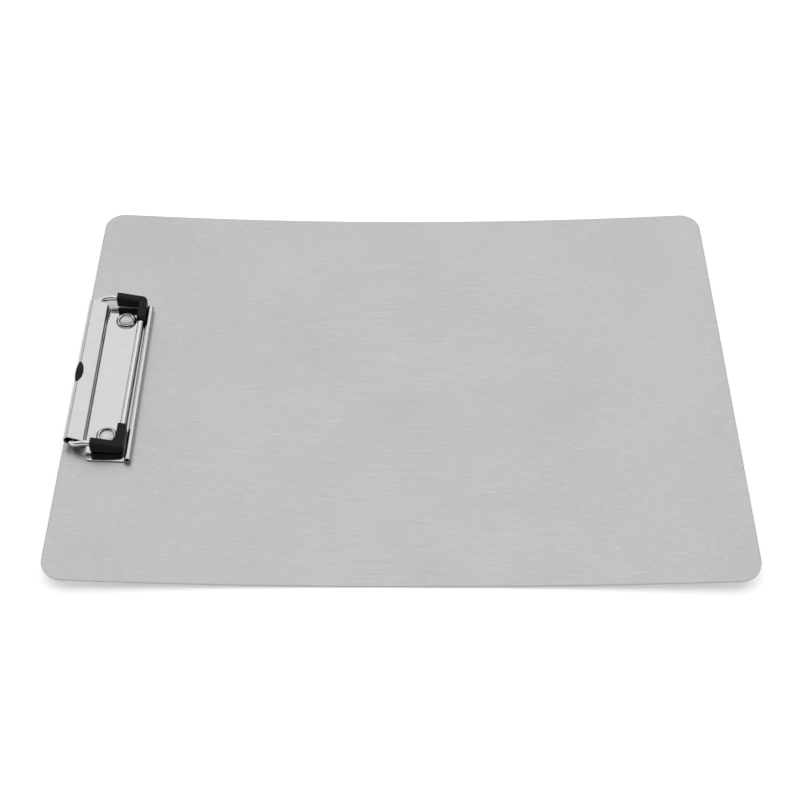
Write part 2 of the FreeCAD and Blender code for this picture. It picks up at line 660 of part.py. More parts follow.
# Leaf spring: a bowed strip, its toe hooked up behind the hinge wall and its tail under the lever
def make_leaf():
    body = doc.addObject("PartDesign::Body", "LeafStrip")
    section = Profile(body, "LeafSection", "XZ_Plane")
    thick = size("leaf_sheet")
    gap = size("leaf_clearance")
    toe_x = -size("hinge_back") + size("hinge_bead") - size("base_sheet") - gap
    toe_size = "-dims.hinge_back + dims.hinge_bead - dims.base_sheet - dims.leaf_clearance"
    bend = 2 * thick
    flat_end = toe_x - size("leaf_flat")
    bow = size("leaf_bow")
    tip = 270 - size("leaf_tip_turn")
    toe_top = size("leaf_toe")
    bend_centre = (toe_x - bend, gap + bend)
    bow_centre = (flat_end, gap + bow)
    chains = {}
    for layer, inset, less in (("out", 0, ""), ("in", thick, " - dims.leaf_sheet")):
        toe = section.line((toe_x - inset, toe_top), (toe_x - inset, gap + bend))
        turn = section.arc(bend_centre, bend - inset, -90, 0)
        foot = section.line((toe_x - bend, gap + inset), (flat_end, gap + inset))
        tail = section.arc(bow_centre, bow - inset, tip, 270)
        section.fix("Tangent", toe, END, turn, END)
        section.fix("Tangent", turn, START, foot, START)
        section.fix("Tangent", foot, END, tail, END)
        section.measure("Radius", (turn,), bend - inset, "2 * dims.leaf_sheet" + less)
        section.measure("Radius", (tail,), bow - inset, "dims.leaf_bow" + less)
        chains[layer] = (toe, turn, foot, tail)
    for place in (1, 3):
        section.fix("Coincident", chains["in"][place], CENTRE, chains["out"][place], CENTRE)
    section.fix("Vertical", chains["out"][0])
    section.place(chains["out"][0], START, (toe_x, toe_top), toe_size, "dims.leaf_toe")
    section.place(chains["out"][3], CENTRE, bow_centre, f"{toe_size} - dims.leaf_flat",
                  "dims.leaf_clearance + dims.leaf_bow")
    top = section.line((toe_x, toe_top), (toe_x - thick, toe_top))
    section.fix("Coincident", top, START, chains["out"][0], START)
    section.fix("Coincident", top, END, chains["in"][0], START)
    section.fix("Horizontal", top)
    last = section.line(on_circle(bow_centre, bow - thick, tip), on_circle(bow_centre, bow, tip))
    section.fix("Coincident", last, START, chains["in"][3], START)
    section.fix("Coincident", last, END, chains["out"][3], START)
    section.fix("PointOnObject", chains["out"][3], CENTRE, last)
    section.measure("Angle", (last,), math.radians(tip), "(270 - dims.leaf_tip_turn) * 1 deg")
    pad(body, section, "dims.leaf_width")
    seat_on_board(body, "leaf_spring")
    return body


bumper, bumper_room = make_bumper()
bail, sleeve_bore = make_bail()
parts = [make_board(), make_base()]
parts += [make_rivet(end, place) for end, place in RIVET_ENDS.items()]
parts += [make_lever(bumper_room), bail]
parts += [make_sleeve(end, side, sleeve_bore) for end, side in (("far", 1), ("near", -1))]
parts += [bumper, make_leaf()]
doc.recompute()

for item in doc.Objects:
    if "Invalid" in item.State or "Error" in item.State:
        raise RuntimeError(f"{item.Label} did not build: {item.State}")
for part in parts:
    if part.Shape.isNull() or not part.Shape.isValid() or len(part.Shape.Solids) != 1:
        raise RuntimeError(f"{part.Label} is not one sound solid")

os.makedirs("parts", exist_ok=True)
for part in parts:
    box = part.Shape.BoundBox
    part.Shape.exportStep(f"parts/{part.Label}.step")
    print(f"{part.Label}: {part.Shape.Volume:.1f} mm3, X {box.XMin:.2f} to {box.XMax:.2f},"
          f" Y {box.YMin:.2f} to {box.YMax:.2f}, Z {box.ZMin:.2f} to {box.ZMax:.2f}")
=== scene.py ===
import math

import bmesh
import bpy
import numpy as np
from mathutils import Matrix


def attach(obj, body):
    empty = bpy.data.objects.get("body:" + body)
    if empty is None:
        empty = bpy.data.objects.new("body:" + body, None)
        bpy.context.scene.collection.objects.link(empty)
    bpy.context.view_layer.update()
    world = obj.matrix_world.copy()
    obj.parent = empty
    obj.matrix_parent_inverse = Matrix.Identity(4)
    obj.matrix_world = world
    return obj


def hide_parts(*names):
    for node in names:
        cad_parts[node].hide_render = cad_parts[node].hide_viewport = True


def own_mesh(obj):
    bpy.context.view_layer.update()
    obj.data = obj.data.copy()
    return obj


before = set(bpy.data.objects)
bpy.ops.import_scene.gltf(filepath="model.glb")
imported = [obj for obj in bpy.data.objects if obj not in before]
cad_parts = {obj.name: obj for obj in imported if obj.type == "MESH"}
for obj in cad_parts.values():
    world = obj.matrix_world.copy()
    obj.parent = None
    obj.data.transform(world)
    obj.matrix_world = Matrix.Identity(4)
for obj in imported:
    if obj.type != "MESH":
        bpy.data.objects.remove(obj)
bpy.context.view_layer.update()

# %% [markdown]
# # An A4 clipboard of brushed steel with a sprung wire clip
# The real object is one stainless sheet, bowed along its length, with a clip riveted near one short end.
# The clip's base and lever are pressed from plated sheet, the bail that holds the paper is bent from one
# chrome wire, and two black plastic sleeves cover the wire's front corners.
# The imported CAD model is our fixed frame: it gives the sizes, the bodies and the hinge. We could show its
# solids as they are, but plated metal mirrors the room and every facet would show in the reflection.
# So each CAD node is replaced here by one smooth surface, worked out with numpy from the same sizes.
# All lengths below are millimetres. They become metres when a mesh is made.

# %% Millimetres
MM = 0.001

# %% [markdown]
# ## The clip's own frame
# The clip was designed lying flat: X points to the writing area, Z stands square to the board, and the
# origin is on the board's face under the middle of the clip's base. The bowed board slopes there.
# An empty with a tilt could carry the clip's objects, but finished pieces must sit at the origin with no
# turn of their own. So the points themselves are turned and moved, before any mesh is made.

# %% Board and clip frames
BOARD_END, BOARD_SHEET, BOW_RISE = 157.5, 0.8, 5.8
CLIP_INSET, CLIP_SIDE_STEP, SEAT_GAP = 20.0, 0.6, 0.05
BOW_RADIUS = (BOARD_END ** 2 + BOW_RISE ** 2) / (2 * BOW_RISE)
CLIP_X = CLIP_INSET - BOARD_END
CLIP_SINE = -CLIP_X / BOW_RADIUS
CLIP_COSINE = math.sqrt(1 - CLIP_SINE ** 2)
CLIP_ORIGIN = np.array([CLIP_X, CLIP_SIDE_STEP, BOARD_SHEET + SEAT_GAP + BOW_RADIUS * (1 - CLIP_COSINE)])
CLIP_AXES = np.array([[CLIP_COSINE, 0, -CLIP_SINE], [0, 1, 0], [CLIP_SINE, 0, CLIP_COSINE]])


def on_clip(points):
    """Row-frame point = clip origin + x X + y Y + z Z."""
    return CLIP_ORIGIN + np.asarray(points, float) @ CLIP_AXES


print("Bow radius:", round(BOW_RADIUS, 1), " clip origin:", CLIP_ORIGIN.round(3))

# %% [markdown]
# The bail is a loose spring, not a machined part, and it lies a little skew in the lever that holds it.
# A second placing function adds that skew: the further a point is from the far arm, the more it steps back.

# %% Skew of the bail
BAIL_SKEW, BAIL_PIVOT, BAIL_STEP = math.tan(math.radians(0.48)), 46.0, 0.2


def on_bail(points):
    """As on_clip, after x grows by the step and by the skew times the signed distance from the pivot."""
    skewed = np.array(points, float)
    skewed[:, 0] += BAIL_STEP + (skewed[:, 1] - BAIL_PIVOT) * BAIL_SKEW
    return on_clip(skewed)


print("Skew of the bail:", round(100 * BAIL_SKEW, 2), "mm in 100 mm")

# %% [markdown]
# ## From arrays to a mesh
# Every surface below is a grid of points, so its faces are known from the grid alone. The helper keeps only
# the points that a face uses, turns all faces outwards and shades the piece smooth.

# %% Mesh from points and faces
def make_piece(name, points, quads, caps=()):
    """One closed mesh in metres with outward faces: quads by point number, then flat caps over the ends."""
    used, renumbered = np.unique(quads, return_inverse=True)
    faces = renumbered.reshape(-1, 4).tolist() + [np.searchsorted(used, cap).tolist() for cap in caps]
    mesh = bpy.data.meshes.new(name)
    mesh.from_pydata((np.asarray(points)[used] * MM).tolist(), [], faces)
    work = bmesh.new()
    work.from_mesh(mesh)
    bmesh.ops.recalc_face_normals(work, faces=work.faces)
    work.to_mesh(mesh)
    work.free()
    mesh.shade_smooth()
    piece = bpy.data.objects.new(name, mesh)
    bpy.context.scene.collection.objects.link(piece)
    print(f"{name}: {len(mesh.vertices)} points, {len(mesh.polygons)} faces")
    return piece


def closed_grid(rows, columns):
    """Quads of a grid whose columns close on themselves, and the two end rows as caps."""
    index = np.arange(rows * columns).reshape(rows, columns)
    after = np.roll(index, -1, axis=1)
    quads = np.stack([index[:-1], index[1:], after[1:], after[:-1]], axis=-1).reshape(-1, 4)
    return quads, (index[0], index[-1])


# %% [markdown]
# ## Pressed sheet
# Board, base, lever and leaf spring are all sheet metal, bent about one direction. A plane with a Solidify
# modifier could give them a thickness, but it pinches where a bead is rolled tightly. Here the bent middle
# line is known, so both skins are stepped off from it by half the thickness along its normal, and a rim
# closes every edge. A small Bevel then takes the sharpness off, as deburring does on the real sheet.

# %% Sheet with two skins
EDGE_BREAK, EDGE_ANGLE = 0.2, 50


def pressed_sheet(name, line, half, thick, columns, shift=0, keep=None, place=None):
    """Skin point (i, j) = line[i] +- thick / 2 normal[i], with y = half[i] columns[j] + shift[i].

    The mask keep says which cells of the grid are there.
    """
    rows, across = len(line), len(columns)
    tangent = np.gradient(line, axis=0)
    tangent /= np.linalg.norm(tangent, axis=1)[:, None]
    normal = np.column_stack([-tangent[:, 1], tangent[:, 0]])
    y = np.outer(np.broadcast_to(half, rows), columns) + np.broadcast_to(shift, rows)[:, None]
    skins = []
    for side in (0.5, -0.5):
        edge = line + side * thick * normal
        skins.append(np.stack([edge[:, :1] + 0 * y, y, edge[:, 1:] + 0 * y], axis=-1))
    points = np.concatenate(skins).reshape(-1, 3)
    index = np.arange(rows * across).reshape(rows, across)
    cells = np.ones((rows - 1, across - 1), bool) if keep is None else keep
    quads = np.stack([index[:-1, :-1], index[1:, :-1], index[1:, 1:], index[:-1, 1:]], axis=-1)[cells]
    other = rows * across
    framed = np.pad(cells, 1)
    rims = []
    for change, first, second in (
            (framed[:-1, 1:-1] != framed[1:, 1:-1], index[:, :-1], index[:, 1:]),
            (framed[1:-1, :-1] != framed[1:-1, 1:], index[:-1], index[1:])):
        rims.append(np.stack([first, second, second + other, first + other], axis=-1)[change])
    faces = np.concatenate([quads, quads[:, ::-1] + other] + rims)
    piece = make_piece(name, points if place is None else place(points), faces)
    bevel = piece.modifiers.new("Deburred edges", "BEVEL")
    bevel.width = min(EDGE_BREAK, thick / 4) * MM
    bevel.segments = 2
    bevel.limit_method = "ANGLE"
    bevel.angle_limit = math.radians(EDGE_ANGLE)
    bevel.use_clamp_overlap = False
    bevel.harden_normals = True
    return piece


# %% [markdown]
# A press bends sheet in arcs and leaves flats between them. So each middle line below is put together from
# arcs and straight runs. A spline would be quicker to draw, but it swells where the real sheet is flat.

# %% Arcs and runs of a bent line
def arc(centre, radius, first, last, steps):
    """centre + radius (cos a, sin a) for angles a in degrees."""
    turn = np.radians(np.linspace(first, last, steps))
    return np.column_stack([centre[0] + radius * np.cos(turn), centre[1] + radius * np.sin(turn)])


def run(start, end, steps):
    """Points between two ends, without the ends."""
    share = np.linspace(0, 1, steps + 2)[1:-1, None]
    return np.asarray(start) * (1 - share) + np.asarray(end) * share


# %% [markdown]
# ## Board
# The board is one stainless sheet, sheared to A4 with a margin, rounded at the corners and rolled to a wide
# arc so that it springs flat under the hand. A Bend modifier on a rounded plane would do it too. Here the
# arc is the middle line of a pressed sheet, and the half-width falls off along a quarter circle at each end.

# %% Board
BOARD_HALF, BOARD_WIDE, BOARD_CORNER = 157.47, 112.5, 10.0
corner_turn = np.radians(np.linspace(0, 90, 14))
corner_run = BOARD_HALF - BOARD_CORNER + BOARD_CORNER * np.sin(corner_turn)
middle_run = np.linspace(0, BOARD_HALF - BOARD_CORNER, 60)[:-1]
board_x = np.concatenate([middle_run, corner_run])
board_x = np.concatenate([-board_x[:0:-1], board_x])
into_corner = np.clip(np.abs(board_x) - (BOARD_HALF - BOARD_CORNER), 0, BOARD_CORNER)
board_half = BOARD_WIDE - BOARD_CORNER + np.sqrt(BOARD_CORNER ** 2 - into_corner ** 2)
middle_radius = BOW_RADIUS + BOARD_SHEET / 2
board_line = np.column_stack([board_x, BOW_RADIUS + BOARD_SHEET - np.sqrt(middle_radius ** 2 - board_x ** 2)])
board = pressed_sheet("board_sheet", board_line, board_half, BOARD_SHEET, np.linspace(-1, 1, 61))

# %% [markdown]
# ## Clip base
# The base is one plated strip under the whole clip. Its front edge is rolled up into a bead that stiffens
# it, and its rear edge is turned up into a short wall and rolled into the bead that the lever hinges on.
# Boxes and tubes could be joined for this, but one bent line keeps the sheet's thickness true through both
# beads, and the slits where the rolls end stay open, which is where the dark lines on the real one come from.

# %% Clip base
BASE_SHEET, BASE_HALF, BASE_SHIFT, BASE_FRONT, FRONT_BEAD = 0.8, 47.3, -2.6, 10.75, 1.65
HINGE = np.array([-11.6, 2.6])
HINGE_BEAD, HINGE_HALF, HINGE_SHIFT, REAR_CORNER = 1.7, 42.7, 0.8, 2.5
FRONT_ROLL_END, HINGE_ROLL_END = 200, 285   # degrees
BEND_SHEETS = 1.5                           # a bend's middle radius, in sheet thicknesses
floor_z = BASE_SHEET / 2
wall_x = HINGE[0] + HINGE_BEAD - floor_z
bend = BEND_SHEETS * BASE_SHEET
front_roll = arc((BASE_FRONT, FRONT_BEAD), FRONT_BEAD - floor_z, FRONT_ROLL_END, -90, 40)
floor_run = run(front_roll[-1], (wall_x + bend + REAR_CORNER, floor_z), 12)
ear_turn = np.radians(np.linspace(0, 90, 8))
ear_run = np.column_stack([wall_x + bend + REAR_CORNER - REAR_CORNER * np.sin(ear_turn),
                           np.full(len(ear_turn), floor_z)])
wall_bend = arc((wall_x + bend, floor_z + bend), bend, -95, -180, 8)
hinge_roll = arc(HINGE, HINGE_BEAD - floor_z, 0, HINGE_ROLL_END, 40)
base_line = np.concatenate([front_roll, floor_run, ear_run, wall_bend, hinge_roll])
flat_rows, raised_rows = len(front_roll) + len(floor_run), len(wall_bend) + len(hinge_roll)
base_half = np.concatenate([np.full(flat_rows, BASE_HALF),
                            BASE_HALF - REAR_CORNER + REAR_CORNER * np.cos(ear_turn),
                            np.full(raised_rows, HINGE_HALF)])
base_shift = np.repeat([BASE_SHIFT, HINGE_SHIFT], [flat_rows + len(ear_run), raised_rows])
base = pressed_sheet("clip_base_sheet", base_line, base_half, BASE_SHEET, np.linspace(-1, 1, 21),
                     shift=base_shift, place=on_clip)

# %% [markdown]
# ## Lever
# The lever is the plate that a thumb presses. It is one sheet folded right round the bail's rear bar, and
# both of its front lips curl over the hinge bead, so the bead is the hinge pin and no pin is needed.
# A notch in the lower lip leaves room for the leaf spring. A Boolean could cut it, but leaving out cells of
# the grid gives the same notch with clean edges.

# %% Lever
LEVER_SHEET, LEVER_HALF, LEVER_SHIFT, NOTCH_HALF, NOTCH_BACK = 0.6, 42.9, 1.1, 12.6, -15.0
FOLD = HINGE + np.array([-5.35, 1.8])
WIRE, FOLD_ROOM, LIP_ROOM = 1.4, 0.6, 0.06
UPPER_LIP_END, LOWER_LIP_END = 60, -95      # degrees round the hinge bead
TOP_STEPS, FOLD_ROWS_CUT = 8, 5
fold_radius = WIRE + FOLD_ROOM + LEVER_SHEET / 2
lip_radius = HINGE_BEAD + LIP_ROOM + LEVER_SHEET / 2
span = np.linalg.norm(HINGE - FOLD)
slope = math.degrees(math.atan2(*(HINGE - FOLD)[::-1]))
splay = math.degrees(math.asin((lip_radius - fold_radius) / span))
top, bottom = slope + 90 + splay, slope - 90 - splay
upper_lip = arc(HINGE, lip_radius, UPPER_LIP_END, top, 8)
fold = arc(FOLD, fold_radius, top, bottom + 360, 40)
lower_lip = arc(HINGE, lip_radius, bottom, LOWER_LIP_END, 5)
lever_line = np.concatenate([upper_lip, run(upper_lip[-1], fold[0], TOP_STEPS), fold,
                             run(fold[-1], lower_lip[0], 16), lower_lip])
notch = (np.array([-NOTCH_HALF, NOTCH_HALF]) - LEVER_SHIFT) / LEVER_HALF
lever_y = np.concatenate([np.linspace(-1, notch[0], 9), np.linspace(*notch, 9)[1:-1],
                          np.linspace(notch[1], 1, 9)])
fold_ends = len(upper_lip) + TOP_STEPS + len(fold)
under = (np.arange(len(lever_line) - 1) >= fold_ends - FOLD_ROWS_CUT) & (lever_line[1:, 0] > NOTCH_BACK)
in_notch = np.abs((lever_y[1:] + lever_y[:-1]) / 2 * LEVER_HALF + LEVER_SHIFT) < NOTCH_HALF
lever = pressed_sheet("lever_sheet", lever_line, LEVER_HALF, LEVER_SHEET, lever_y, shift=LEVER_SHIFT,
                      keep=~np.outer(under, in_notch), place=on_clip)

# %% [markdown]
# ## Bail wire
# The bail is one spring wire. From the middle of the lever's fold it runs out along the rear bar, turns into
# an arm with a raised knee, crosses along the front bar that holds the paper, and comes back the same way.
# Its two ends stop short of each other inside the fold.
# A Bezier curve with a bevel depth makes wire quickly, but its bends are never true arcs. A wire bender works
# with straight runs and fixed radii, so the path is made of those, and a circle is carried along it.

# %% Wire along a path
DOME_ANGLES = (85, 60, 30)


def bent_path(corners, radii, step=0.4):
    """Straight runs between corner points, with an arc of each radius tangent to both runs."""
    corners = [np.asarray(corner, float) for corner in corners]
    path = [corners[0]]
    for before, corner, after, radius in zip(corners, corners[1:], corners[2:], radii):
        back = (before - corner) / np.linalg.norm(before - corner)
        ahead = (after - corner) / np.linalg.norm(after - corner)
        half = math.acos(back @ ahead) / 2
        centre = corner + (back + ahead) / np.linalg.norm(back + ahead) * radius / math.sin(half)
        start, finish = (corner + way * radius / math.tan(half) - centre for way in (back, ahead))
        sweep = math.pi - 2 * half
        share = np.linspace(0, 1, max(3, math.ceil(radius * sweep / step)))[:, None]
        turn = (np.sin((1 - share) * sweep) * start + np.sin(share * sweep) * finish) / math.sin(sweep)
        path += list(centre + turn)
    return np.array(path + [corners[-1]])


def round_wire(name, path, radius, sides=32):
    """Ring point = path[i] + r (cos a N + sin a B), N level and square to the path; domed ends."""
    tangent = np.gradient(path, axis=0)
    tangent /= np.linalg.norm(tangent, axis=1)[:, None]
    normals = np.cross(tangent, (0, 0, 1))
    normals /= np.linalg.norm(normals, axis=1)[:, None]
    binormals = np.cross(tangent, normals)
    dome = np.radians(DOME_ANGLES)
    centres = np.concatenate([path[:1] - radius * np.sin(dome)[:, None] * tangent[:1], path,
                              path[-1:] + radius * np.sin(dome[::-1])[:, None] * tangent[-1:]])
    rings = radius * np.concatenate([np.cos(dome), np.ones(len(path)), np.cos(dome[::-1])])
    spread = np.clip(np.arange(len(centres)) - len(dome), 0, len(path) - 1)
    turn = np.linspace(0, 2 * np.pi, sides, endpoint=False)
    ring = np.cos(turn)[:, None] * normals[spread][:, None] + np.sin(turn)[:, None] * binormals[spread][:, None]
    grid = centres[:, None] + rings[:, None, None] * ring
    return make_piece(name, on_bail(grid.reshape(-1, 3)), *closed_grid(len(centres), sides))


# %% [markdown]
# The bail itself has eight corner points, and the six between its tips each carry a bend. Points placed by hand
# along the whole wire could follow it too, but corners and radii are what its drawing would state.
# Its cut length is printed, because whoever bends the wire would ask for it.

# %% Bail wire
BAIL_HALF, BAIL_SHIFT, BAIL_FRONT, FRONT_HEIGHT, BAR_REACH = 45.25, 1.45, 6.85, 3.2, 3.9
END_GAP, GAP_MIDDLE = 17.0, -2.5
KNEE, BEND, KNEE_BEND = (-8.2, 5.9), 3.2, 7.0
rear_bar = tuple(HINGE + BAR_REACH / span * (FOLD - HINGE))
side_points = [rear_bar, KNEE, (BAIL_FRONT, FRONT_HEIGHT)]
far_side = [(x, BAIL_SHIFT + BAIL_HALF, z) for x, z in side_points]
near_side = [(x, BAIL_SHIFT - BAIL_HALF, z) for x, z in side_points[::-1]]
bail_tips = [(rear_bar[0], GAP_MIDDLE + way * (END_GAP / 2 + WIRE), rear_bar[1]) for way in (1, -1)]
bail_corners = bail_tips[:1] + far_side + near_side + bail_tips[1:]
bail_path = bent_path(bail_corners, [BEND, KNEE_BEND, BEND] * 2)
bail = round_wire("bail_wire_bent", bail_path, WIRE)
print("Wire cut length:", round(np.linalg.norm(np.diff(bail_path, axis=0), axis=1).sum() + 2 * WIRE, 1), "mm")

# %% [markdown]
# ## Corner sleeves
# Each front corner of the bail wears a black moulded sleeve, an L in plan and taller towards the knee. It
# keeps the wire from scratching the board and grips the paper's corners.
# A bevelled and bent cube would give the L, with pinched corners. Here a rounded section is carried between
# an inner and an outer rail, and the rails carry the small radius that a mould cutter leaves.

# %% Moulded bar
def moulded_bar(name, inner, outer, low, high, drop, edge, foot=0.15):
    """Section i spans inner[i] to outer[i] in plan and low(x) to high(x) - drop[i], its top edges rounded."""
    width = np.linalg.norm(outer - inner, axis=1)[:, None]
    way = ((outer - inner) / width)[:, None]
    turn = np.radians(np.linspace(0, 90, 7))
    ones = np.ones_like(width)
    reach = np.hstack([foot * ones, width - foot, width - foot * 0.3, width,
                       width - edge + edge * np.cos(turn), ones * (edge - edge * np.sin(turn)), 0 * ones,
                       foot * 0.3 * ones])
    plan = inner[:, None] + reach[..., None] * way
    base_height, roof = low(plan[..., 0]), high(plan[..., 0]) - drop[:, None]
    lift = np.concatenate([[0, 0, foot * 0.3, foot], edge * np.sin(turn) - edge,
                           edge * np.cos(turn) - edge, [foot, foot * 0.3]])
    from_base = np.array([True] * 4 + [False] * 14 + [True] * 2)
    height = np.where(from_base, base_height, roof) + lift
    grid = np.concatenate([plan, height[..., None]], axis=-1)
    piece = make_piece(name, on_bail(grid.reshape(-1, 3)), *closed_grid(*grid.shape[:2]))
    piece.modifiers.new("Flat faces stay flat", "WEIGHTED_NORMAL")
    return piece


# %% [markdown]
# The sleeve grows taller towards its heel, because the wire in it climbs to the knee. Its two ends round off,
# so the rails have close-set points there, each a little lower than the one before.

# %% Sleeve heights and rails
SLEEVE_HALF, SLEEVE_BACK, SLEEVE_SIDE, SLEEVE_CORNER, SLEEVE_EDGE = 1.95, 13.0, 14.4, 2.5, 0.9
SLEEVE_FRONT, SLEEVE_REAR = BAIL_FRONT + SLEEVE_HALF, BAIL_FRONT - SLEEVE_BACK
SLEEVE_INNER_CORNER, END_POINTS = 0.4, 7
SLEEVE_LOW, SLEEVE_LOW_RISE, SLEEVE_TOP, SLEEVE_TOP_RISE = 1.1, 0.6, 5.82, 2.62


def toward_heel(x):
    """0 at the sleeve's front and 1 at its heel."""
    return (SLEEVE_FRONT - x) / (SLEEVE_FRONT - SLEEVE_REAR)


def sleeve_floor(x):
    """Underside height, rising evenly from front to heel."""
    return SLEEVE_LOW + SLEEVE_LOW_RISE * toward_heel(x)


def sleeve_roof(x):
    """Top height, rising evenly from front to heel."""
    return SLEEVE_TOP + SLEEVE_TOP_RISE * toward_heel(x)


end_turn = np.radians(np.linspace(0, 90, END_POINTS))
end_inset = SLEEVE_EDGE * (1 - np.cos(end_turn))
end_drop = SLEEVE_EDGE * (1 - np.sin(end_turn))


def sleeve_rail(front, out, corner, side):
    """A rail in plan: along the arm, round the corner and along the front bar, close-set at both ends."""
    turn = arc((front - corner, out - corner), corner, 90, 0, 9)
    last = BAIL_HALF + SLEEVE_HALF - SLEEVE_SIDE
    heel = np.column_stack([SLEEVE_REAR + end_inset, np.full(END_POINTS, out)])
    toe = np.column_stack([np.full(END_POINTS, front), last + end_inset[::-1]])
    rail = np.concatenate([heel, run(heel[-1], turn[0], 8), turn, run(turn[-1], toe[0], 8), toe])
    return rail * (1, side) + (0, BAIL_SHIFT)


# %% [markdown]
# The two sleeves are mirror twins. A Mirror modifier could make the second from the first, but each is a piece
# of its own with its own node, so a short loop makes both from the same rails.

# %% Corner sleeves
sleeves = {}
for end, side in (("far", 1), ("near", -1)):
    outer_rail = sleeve_rail(SLEEVE_FRONT, BAIL_HALF + SLEEVE_HALF, SLEEVE_CORNER, side)
    inner_rail = sleeve_rail(BAIL_FRONT - SLEEVE_HALF, BAIL_HALF - SLEEVE_HALF, SLEEVE_INNER_CORNER, side)
    drop = np.concatenate([end_drop, np.zeros(len(outer_rail) - 2 * END_POINTS), end_drop[::-1]])
    sleeves[end] = moulded_bar(f"corner_sleeve_{end}_moulded", inner_rail, outer_rail, sleeve_floor,
                               sleeve_roof, drop, SLEEVE_EDGE)

# %% [markdown]
# ## Rivets
# Two hollow rivets hold the base to the board. The upset head is a ring with a cone outside and a smaller one
# inside, round a blind bore; the tail is set flat under the board. A rivet is a turned part, so its outline
# is spun about its axis. The Screw modifier does the same, but the outline in an array can use a formula for
# the two cones: a power of sine and cosine between 1, which is round, and 2, which is straight.

# %% Turned piece
def turned(name, outline, x, y, sides=64):
    """Point (i, a) = (x + r[i] cos a, y + r[i] sin a, z[i])."""
    turn = np.linspace(0, 2 * np.pi, sides, endpoint=False)
    radius, height = np.asarray(outline, float).T
    grid = np.stack([x + np.outer(radius, np.cos(turn)), y + np.outer(radius, np.sin(turn)),
                     np.outer(height, np.ones(sides))], axis=-1)
    return make_piece(name, on_clip(grid.reshape(-1, 3)), *closed_grid(len(radius), sides))


# %% [markdown]
# From below, the outline follows the set tail, the shank through board and base, the ring with its two cones,
# and the blind bore. Both rivets come from one outline, as both come from one tool.

# %% Rivets
RIVET_X, RIVET_Y, SHANK = -0.5, 35.8, 3.4
FLANGE, BORE, SEAT, RING_TOP, BORE_FLOOR = 5.1, 3.05, 0.8, 2.1, 1.05
CREST, INNER_DROP, CONE = 3.85, 0.75, 1.5
FLANGE_EDGE, BORE_EASE, FLOOR_BAND = 0.05, 0.1, 0.08
TAIL, TAIL_TOP, TAIL_LOW, TAIL_ROUND, TINY = 4.6, -0.85, -1.65, 0.5, 0.02
rise = np.radians(np.linspace(0, 90, 12))
fall = rise[-2::-1]
ring = np.concatenate([
    np.column_stack([CREST + (FLANGE - CREST) * np.cos(rise) ** CONE,
                     SEAT + FLANGE_EDGE + (RING_TOP - SEAT - FLANGE_EDGE) * np.sin(rise) ** CONE]),
    np.column_stack([CREST - (CREST - BORE) * np.cos(fall) ** CONE,
                     RING_TOP - INNER_DROP + INNER_DROP * np.sin(fall) ** CONE])])
rivet_outline = np.concatenate([
    [(TINY, TAIL_LOW), (TAIL - TAIL_ROUND, TAIL_LOW)],
    arc((TAIL - TAIL_ROUND, TAIL_LOW + TAIL_ROUND), TAIL_ROUND, -90, 0, 5),
    [(TAIL, TAIL_TOP), (SHANK, TAIL_TOP), (SHANK, SEAT), (FLANGE - FLANGE_EDGE, SEAT)], ring,
    [(BORE, BORE_FLOOR + BORE_EASE), (BORE - BORE_EASE, BORE_FLOOR), (TINY, BORE_FLOOR)]])
rivets = {end: turned(f"rivet_{end}_turned", rivet_outline, RIVET_X, y)
          for end, y in (("far", RIVET_Y), ("near", -RIVET_Y))}

# %% [markdown]
# ## Bumper
# A black plastic plug sits between the wire's ends, and its lens-shaped head shows through the lever's fold
# where the thumb presses. A UV sphere pulled long would end in two blunt tips. The lens is a row of ellipses
# whose size falls off along its length as a power of a half circle, so it runs out to a point at both ends.

# %% Bumper
BUMPER_HALF, BUMPER_WIDE, BUMPER_TALL, BUMPER_SINK, BUMPER_LEAN = 8.2, 2.0, 1.45, 0.82, math.radians(106)
BUMPER_POINT = 0.75
fold_outside = WIRE + FOLD_ROOM + LEVER_SHEET
lens_x, lens_z = FOLD + (fold_outside - BUMPER_SINK) * np.array([math.cos(BUMPER_LEAN), math.sin(BUMPER_LEAN)])
along = np.sin(np.radians(np.linspace(-89, 89, 41)))[:, None]
swell = (1 - along ** 2) ** BUMPER_POINT
around = np.linspace(0, 2 * np.pi, 48, endpoint=False)
lens = np.stack([lens_x + BUMPER_WIDE * swell * np.cos(around), GAP_MIDDLE + BUMPER_HALF * along + 0 * around,
                 lens_z + BUMPER_TALL * swell * np.sin(around)], axis=-1)
bumper = make_piece("lever_bumper_moulded", on_clip(lens.reshape(-1, 3)), *closed_grid(*lens.shape[:2]))

# %% [markdown]
# ## Leaf spring
# A strip of tempered steel under the lever pushes it up. Its toe hooks behind the hinge wall, and its bowed
# tail bears on the fold. It is a pressed sheet again, because a strip that is bent one way needs no more.

# %% Leaf spring
LEAF_SHEET, LEAF_HALF, LEAF_BOW, LEAF_GAP, LEAF_TOE, LEAF_FLAT = 0.3, 12.0, 6.0, 0.06, 1.5, 1.85
LEAF_TAIL_END = 237.5                       # degrees round the bow
toe_x = HINGE[0] + HINGE_BEAD - BASE_SHEET - LEAF_GAP - LEAF_SHEET / 2
leaf_z = LEAF_GAP + LEAF_SHEET / 2
toe_bend = BEND_SHEETS * LEAF_SHEET
toe = arc((toe_x - toe_bend, leaf_z + toe_bend), toe_bend, 0, -90, 8)
tail_radius = LEAF_BOW - LEAF_SHEET / 2
tail = arc((toe_x - LEAF_FLAT, leaf_z + tail_radius), tail_radius, 270, LEAF_TAIL_END, 14)
leaf_line = np.concatenate([[(toe_x, LEAF_TOE)], run((toe_x, LEAF_TOE), toe[0], 3), toe,
                            run(toe[-1], tail[0], 3), tail])
leaf = pressed_sheet("leaf_spring_strip", leaf_line, LEAF_HALF, LEAF_SHEET, np.linspace(-1, 1, 9),
                     place=on_clip)

